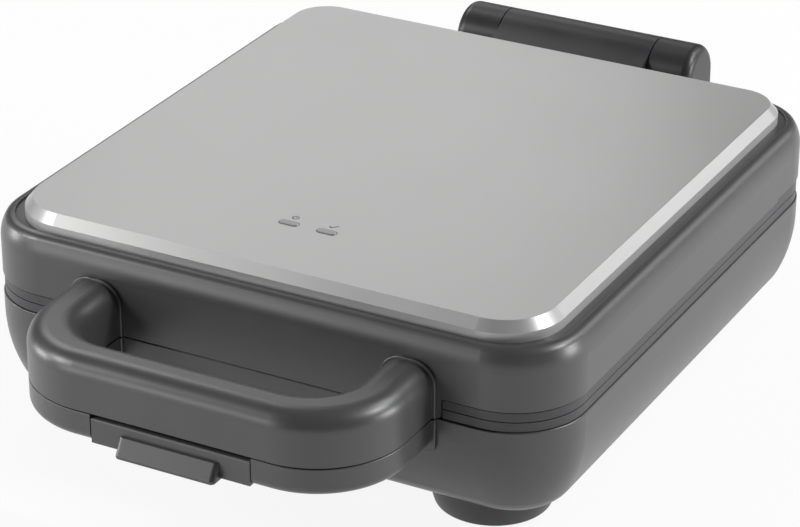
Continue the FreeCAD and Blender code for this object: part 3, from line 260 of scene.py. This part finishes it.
finishes = {
    "body": moulded_plastic("satin_body_plastic", (0.058, 0.058, 0.060), (0.063, 0.063, 0.066),
                            0.34, 0.37, 0.000008, 1.6),
    "hinge": moulded_plastic("charcoal_hinge_plastic", (0.024, 0.024, 0.026), (0.029, 0.029, 0.031),
                             0.36, 0.42, 0.00001),
    "foot": moulded_plastic("charcoal_foot_plastic", (0.046, 0.046, 0.049), (0.054, 0.054, 0.057),
                            0.42, 0.50, 0.00001),
    "rim": moulded_plastic("dark_rim_plastic", (0.044, 0.044, 0.047), (0.052, 0.052, 0.055),
                           0.42, 0.50, 0.00001),
    "cover": satin_sheet("satin_cover_metal", (0.430, 0.430, 0.428), (0.445, 0.445, 0.443),
                         0.31, 0.35, 0.4),
    "lens": light_guide("silver_light_guide", (0.18, 0.18, 0.18), (0.21, 0.21, 0.21)),
    "plate": speckled_coating("non_stick_coating", (0.024, 0.024, 0.026), (0.11, 0.11, 0.11)),
    "element": bare_metal("dull_element_sheath", (0.12, 0.115, 0.11), (0.19, 0.185, 0.18),
                          0.45, 0.6, (500.0, 500.0, 500.0), 0.00003),
    "shield": bare_metal("rolled_shield_sheet", (0.50, 0.50, 0.51), (0.62, 0.62, 0.63),
                         0.22, 0.34, (20.0, 1400.0, 400.0), 0.00002),
    "steel": bare_metal("zinc_plated_steel", (0.34, 0.34, 0.35), (0.48, 0.48, 0.49),
                        0.25, 0.42, (700.0, 700.0, 700.0), 0.00002),
    "sleeve": woven_sleeve("woven_glass_sleeve", (0.34, 0.32, 0.27), (0.56, 0.54, 0.48)),
    "wire": soft_rubber("silicone_insulation", (0.26, 0.26, 0.25), (0.34, 0.34, 0.33)),
    "ceramic": fired_ceramic("fired_ceramic", (0.40, 0.39, 0.35), (0.54, 0.53, 0.49)),
    "board": fired_ceramic("phenolic_board", (0.09, 0.065, 0.03), (0.15, 0.11, 0.05)),
    "lamp": glass_lamp("lamp_glass", (0.46, 0.08, 0.04), (0.56, 0.14, 0.07)),
    "gland": soft_rubber("black_gland_rubber", (0.016, 0.016, 0.016), (0.026, 0.026, 0.026)),
    "pad": soft_rubber("soft_pad_rubber", (0.020, 0.020, 0.020), (0.034, 0.034, 0.034)),
}

for subpart in frame["record"]["subparts"]:
    node = frame["nodes"][subpart["node"]]
    finish = finishes[subpart["material_slot"]]
    for material_slot in node.material_slots:
        material_slot.material = finish


def put_down():
    """Object mode, with nothing selected."""
    if bpy.context.mode != "OBJECT":
        bpy.ops.object.mode_set(mode="OBJECT")
    bpy.ops.object.select_all(action="DESELECT")


def take_up(piece):
    """Object mode, with this piece alone selected."""
    put_down()
    piece.select_set(True)
    bpy.context.view_layer.objects.active = piece


def pick_faces(piece, wanted):
    """Edit mode, with the faces selected whose middle and normal pass a test."""
    bpy.ops.object.mode_set(mode="EDIT")
    bpy.ops.mesh.select_mode(type="FACE")
    bpy.ops.mesh.select_all(action="DESELECT")
    bpy.ops.object.mode_set(mode="OBJECT")
    for face in piece.data.polygons:
        face.select = wanted(face.center, face.normal)
    bpy.ops.object.mode_set(mode="EDIT")


def pick_edges(piece, wanted):
    """Edit mode, with the edges selected whose two ends pass a test."""
    bpy.ops.object.mode_set(mode="EDIT")
    bpy.ops.mesh.select_mode(type="EDGE")
    bpy.ops.mesh.select_all(action="DESELECT")
    bpy.ops.object.mode_set(mode="OBJECT")
    points = piece.data.vertices
    for edge in piece.data.edges:
        edge.select = all(wanted(points[end].co) for end in edge.vertices)
    bpy.ops.object.mode_set(mode="EDIT")


def settle(piece):
    """The place goes into the mesh, and the object sits at the origin."""
    take_up(piece)
    bpy.ops.object.transform_apply(location=True, rotation=True, scale=True)


def dress(piece, name, body, slot):
    """Name a finished piece, smooth it, and give it its body and its finish."""
    settle(piece)
    bpy.ops.object.shade_smooth_by_angle(angle=SMOOTH_ANGLE)
    piece.name = name
    piece.data.name = name
    piece.data.materials.clear()
    piece.data.materials.append(finishes[slot])
    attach(piece, body)


def copies_at(piece, shifts):
    """The piece and its copies, each with a mesh of its own, moved by the shifts."""
    pieces = [piece]
    for shift in shifts:
        take_up(piece)
        bpy.ops.object.duplicate(linked=False)
        bpy.ops.transform.translate(value=shift)
        pieces.append(bpy.context.object)
    return pieces


def corner_shifts(low, high, inset):
    """From the low corner's place to the other three, for places inset from a node's box."""
    along_x = high.x - low.x - 2 * inset
    along_y = high.y - low.y - 2 * inset
    return [(along_x, 0.0, 0.0), (0.0, along_y, 0.0), (along_x, along_y, 0.0)]


CORNER_NAMES = ("front_left", "front_right", "rear_left", "rear_right")


def cross_screw(x, y, bottom, top):
    """A pan-head screw, head down, with a rounded rim, a cross recess and a pointed shank."""
    put_down()
    bpy.ops.mesh.primitive_cylinder_add(vertices=40, radius=SCREW_HEAD_RADIUS, depth=SCREW_HEAD_HEIGHT,
                                        location=(x, y, bottom + SCREW_HEAD_HEIGHT / 2))
    piece = bpy.context.object
    settle(piece)
    pick_faces(piece, lambda middle, normal: normal.z < -0.9)
    bpy.ops.mesh.bevel(offset=SCREW_HEAD_ROUND, segments=4, affect="EDGES")
    pick_faces(piece, lambda middle, normal: normal.z > 0.9)
    bpy.ops.mesh.inset(thickness=SCREW_HEAD_RADIUS - SCREW_SHANK_RADIUS)
    shank = top - bottom - SCREW_HEAD_HEIGHT - SCREW_POINT_LENGTH
    for length in (shank, SCREW_POINT_LENGTH):
        bpy.ops.mesh.extrude_region_move(TRANSFORM_OT_translate={"value": (0.0, 0.0, length)})
    bpy.ops.transform.resize(value=(SCREW_POINT_SHARE, SCREW_POINT_SHARE, 1.0))
    for size in ((RECESS_LENGTH, RECESS_WIDTH, RECESS_DEPTH), (RECESS_WIDTH, RECESS_LENGTH, RECESS_DEPTH)):
        put_down()
        bpy.ops.mesh.primitive_cube_add(size=1.0, location=(x, y, bottom), scale=size)
        blade = bpy.context.object
        settle(blade)
        pick_faces(blade, lambda middle, normal: normal.z > 0.9)
        bpy.ops.transform.resize(value=(RECESS_TAPER, RECESS_TAPER, 1.0))
        take_up(piece)
        recess = piece.modifiers.new("recess", "BOOLEAN")
        recess.operation = "DIFFERENCE"
        recess.object = blade
        bpy.ops.object.modifier_apply(modifier=recess.name)
        take_up(blade)
        bpy.ops.object.delete()
    return piece


def ringed_pad(x, y, bottom, top):
    """A soft round pad with ring grooves under it and a rounded rim."""
    put_down()
    bpy.ops.mesh.primitive_cylinder_add(vertices=72, radius=PAD_RADIUS, depth=top - bottom,
                                        location=(x, y, (bottom + top) / 2))
    piece = bpy.context.object
    settle(piece)
    pick_faces(piece, lambda middle, normal: normal.z < -0.9)
    bpy.ops.mesh.bevel(offset=PAD_ROUND, segments=3, affect="EDGES")
    pick_faces(piece, lambda middle, normal: normal.z < -0.99)
    for ring in range(PAD_RINGS):
        bpy.ops.mesh.inset(thickness=RING_SPACE)
        bpy.ops.mesh.inset(thickness=GROOVE_SLOPE, depth=-GROOVE_DEPTH)
        bpy.ops.mesh.inset(thickness=GROOVE_WIDTH)
        bpy.ops.mesh.inset(thickness=GROOVE_SLOPE, depth=GROOVE_DEPTH)
    return piece


def printed_ring_and_bar(middle):
    """The common mark for power, printed: an open ring with a short bar in its gap."""
    put_down()
    bpy.ops.mesh.primitive_circle_add(vertices=60, radius=RING_RADIUS, fill_type="NGON", location=middle)
    ring = bpy.context.object
    settle(ring)
    pick_faces(ring, lambda center, normal: True)
    bpy.ops.mesh.inset(thickness=MARK_STROKE)
    bpy.ops.mesh.delete(type="FACE")
    pick_faces(ring, lambda center, normal:
               abs(math.atan2(center.x - middle.x, center.y - middle.y)) < RING_HALF_GAP)
    bpy.ops.mesh.delete(type="FACE")
    put_down()
    bar_middle = middle + Vector((0.0, BAR_RISE, 0.0))
    bpy.ops.mesh.primitive_plane_add(size=1.0, location=bar_middle)
    bar = bpy.context.object
    bar.scale = (MARK_STROKE, BAR_LENGTH, 1.0)
    settle(bar)
    ring.select_set(True)
    bpy.context.view_layer.objects.active = ring
    bpy.ops.object.join()
    return ring


def printed_tick(middle):
    """A printed tick: a short stroke and a long one, turned to stand on their corner."""
    put_down()
    bpy.ops.mesh.primitive_plane_add(size=MARK_STROKE, location=middle)
    tick = bpy.context.object
    settle(tick)
    quarter = MARK_STROKE / 4
    pick_edges(tick, lambda point: point.y > middle.y + quarter)
    bpy.ops.mesh.extrude_region_move(TRANSFORM_OT_translate={"value": (0.0, TICK_LONG, 0.0)})
    pick_edges(tick, lambda point: point.x < middle.x - quarter and point.y < middle.y + 3 * quarter)
    bpy.ops.mesh.extrude_region_move(TRANSFORM_OT_translate={"value": (-TICK_SHORT, 0.0, 0.0)})
    bpy.ops.mesh.select_all(action="SELECT")
    bpy.ops.transform.rotate(value=TICK_TURN, orient_axis="Z", center_override=middle)
    bpy.ops.transform.translate(value=TICK_SHIFT)
    return tick


def lay_print(piece):
    """Give a flat print its film thickness."""
    take_up(piece)
    pick_faces(piece, lambda center, normal: True)
    bpy.ops.mesh.extrude_region_move(TRANSFORM_OT_translate={"value": (0.0, 0.0, PRINT_FILM)})
    bpy.ops.mesh.select_all(action="SELECT")
    bpy.ops.mesh.normals_make_consistent(inside=False)
    put_down()


screw_low, screw_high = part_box("lid_screws")
first_screw = cross_screw(screw_low.x + SCREW_HEAD_RADIUS, screw_low.y + SCREW_HEAD_RADIUS,
                          screw_low.z, screw_high.z)
screws = copies_at(first_screw, corner_shifts(screw_low, screw_high, SCREW_HEAD_RADIUS))
for screw, corner in zip(screws, CORNER_NAMES):
    dress(screw, corner + "_lid_screw", "lid", "steel")
    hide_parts("lid_screws")

pad_low, pad_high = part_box("foot_pads")
first_pad = ringed_pad(pad_low.x + PAD_RADIUS, pad_low.y + PAD_RADIUS, pad_low.z, pad_high.z)
pads = copies_at(first_pad, corner_shifts(pad_low, pad_high, PAD_RADIUS))
for pad, corner in zip(pads, CORNER_NAMES):
    dress(pad, corner + "_ringed_pad", "base", "pad")
    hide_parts("foot_pads")

cover_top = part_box("lid_cover")[1].z
for lens_node, mark_name, draw in (("power_lens", "power_mark", printed_ring_and_bar),
                                   ("ready_lens", "ready_mark", printed_tick)):
    lens_low, lens_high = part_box(lens_node)
    behind = lens_high.y + MARK_FROM_LENS
    mark = draw(Vector(((lens_low.x + lens_high.x) / 2, behind, cover_top)))
    lay_print(mark)
    dress(mark, mark_name, "lid", "hinge")

put_down()
bpy.ops.mesh.primitive_circle_add(vertices=96, radius=STUDIO_RADIUS, fill_type="NGON")
studio = bpy.context.object
studio.name = "studio_floor"


def pale_floor():
    """White to the camera and in reflections, and still a surface that takes the object's shadow."""
    finish = bpy.data.materials.new("pale_floor")
    finish.use_nodes = True
    tree = finish.node_tree
    tree.nodes.clear()
    output = tree.nodes.new("ShaderNodeOutputMaterial")
    mix = tree.nodes.new("ShaderNodeMixShader")
    matt = tree.nodes.new("ShaderNodeBsdfDiffuse")
    matt.inputs["Color"].default_value = (0.86, 0.86, 0.86, 1.0)
    white = tree.nodes.new("ShaderNodeEmission")
    white.inputs["Color"].default_value = (1.0, 1.0, 1.0, 1.0)
    white.inputs["Strength"].default_value = 1.0
    path = tree.nodes.new("ShaderNodeLightPath")
    seen = tree.nodes.new("ShaderNodeMath")
    seen.operation = "MAXIMUM"
    clear = tree.nodes.new("ShaderNodeMath")
    clear.operation = "MAXIMUM"
    share = tree.nodes.new("ShaderNodeMath")
    share.operation = "MULTIPLY"
    share.inputs[1].default_value = FLOOR_WHITE_SHARE
    tree.links.new(path.outputs["Is Camera Ray"], seen.inputs[0])
    tree.links.new(path.outputs["Is Glossy Ray"], seen.inputs[1])
    tree.links.new(seen.outputs["Value"], clear.inputs[0])
    tree.links.new(path.outputs["Is Transmission Ray"], clear.inputs[1])
    tree.links.new(clear.outputs["Value"], share.inputs[0])
    tree.links.new(share.outputs["Value"], mix.inputs["Fac"])
    tree.links.new(matt.outputs["BSDF"], mix.inputs[1])
    tree.links.new(white.outputs["Emission"], mix.inputs[2])
    tree.links.new(mix.outputs["Shader"], output.inputs["Surface"])
    finish.cycles.emission_sampling = "NONE"
    return finish


studio.data.materials.append(pale_floor())

world = bpy.data.worlds.new("studio_air")
bpy.context.scene.world = world
world.use_nodes = True
air = world.node_tree
soft_air = air.nodes["Background"]
soft_air.inputs["Color"].default_value = (1.0, 1.0, 1.0, 1.0)
soft_air.inputs["Strength"].default_value = AIR_LIGHT
white_air = air.nodes.new("ShaderNodeBackground")
white_air.inputs["Color"].default_value = (1.0, 1.0, 1.0, 1.0)
white_air.inputs["Strength"].default_value = 1.0
seen_air = air.nodes.new("ShaderNodeMixShader")
air.links.new(air.nodes.new("ShaderNodeLightPath").outputs["Is Camera Ray"], seen_air.inputs["Fac"])
air.links.new(soft_air.outputs["Background"], seen_air.inputs[1])
air.links.new(white_air.outputs["Background"], seen_air.inputs[2])
air.links.new(seen_air.outputs["Shader"], air.nodes["World Output"].inputs["Surface"])


def softbox(name, around, up, size, power):
    """A square soft light facing the object: degrees round from the right, degrees up, metres, watts."""
    turn = math.radians(around)
    rise = math.radians(up)
    toward_lamp = Vector((math.cos(turn) * math.cos(rise), math.sin(turn) * math.cos(rise), math.sin(rise)))
    bpy.ops.object.light_add(type="AREA", location=LAMP_AIM + toward_lamp * LAMP_DISTANCE,
                             rotation=toward_lamp.to_track_quat("Z", "Y").to_euler())
    lamp = bpy.context.object
    lamp.name = name
    lamp.data.shape = "SQUARE"
    lamp.data.size = size
    lamp.data.energy = power


softbox("rear_right_key", 38.0, 46.0, 0.6, 8.5)
softbox("right_spark", 14.0, 40.0, 0.16, 9.5)
softbox("rear_left_fill", 148.0, 44.0, 0.6, 5.0)
softbox("front_left_key", 220.0, 29.0, 0.4, 10.0)
softbox("rear_right_edge", 60.0, 26.0, 0.6, 2.0)
softbox("rear_left_edge", 120.0, 26.0, 0.6, 1.5)
softbox("low_rear_edge", 56.0, 14.0, 0.4, 0.8)
softbox("low_left_edge", 198.0, 8.0, 0.4, 8.0)
softbox("low_front_edge", 240.0, 10.0, 0.5, 4.2)
softbox("low_right_edge", 18.0, 8.0, 0.4, 10.0)

toward_camera = Vector((
    math.sin(VIEW_AZIMUTH) * math.cos(VIEW_ELEVATION),
    -math.cos(VIEW_AZIMUTH) * math.cos(VIEW_ELEVATION),
    math.sin(VIEW_ELEVATION)))
bpy.ops.object.camera_add(location=VIEW_POINT + toward_camera * VIEW_DISTANCE,
                          rotation=toward_camera.to_track_quat("Z", "Y").to_euler())
camera = bpy.context.object
camera.data.sensor_width = 36.0
camera.data.sensor_fit = "HORIZONTAL"
camera.data.lens = VIEW_LENS_MM
camera.data.clip_start = 0.02
camera.data.clip_end = 60.0
bpy.context.scene.camera = camera
bpy.context.scene.view_settings.view_transform = "Standard"
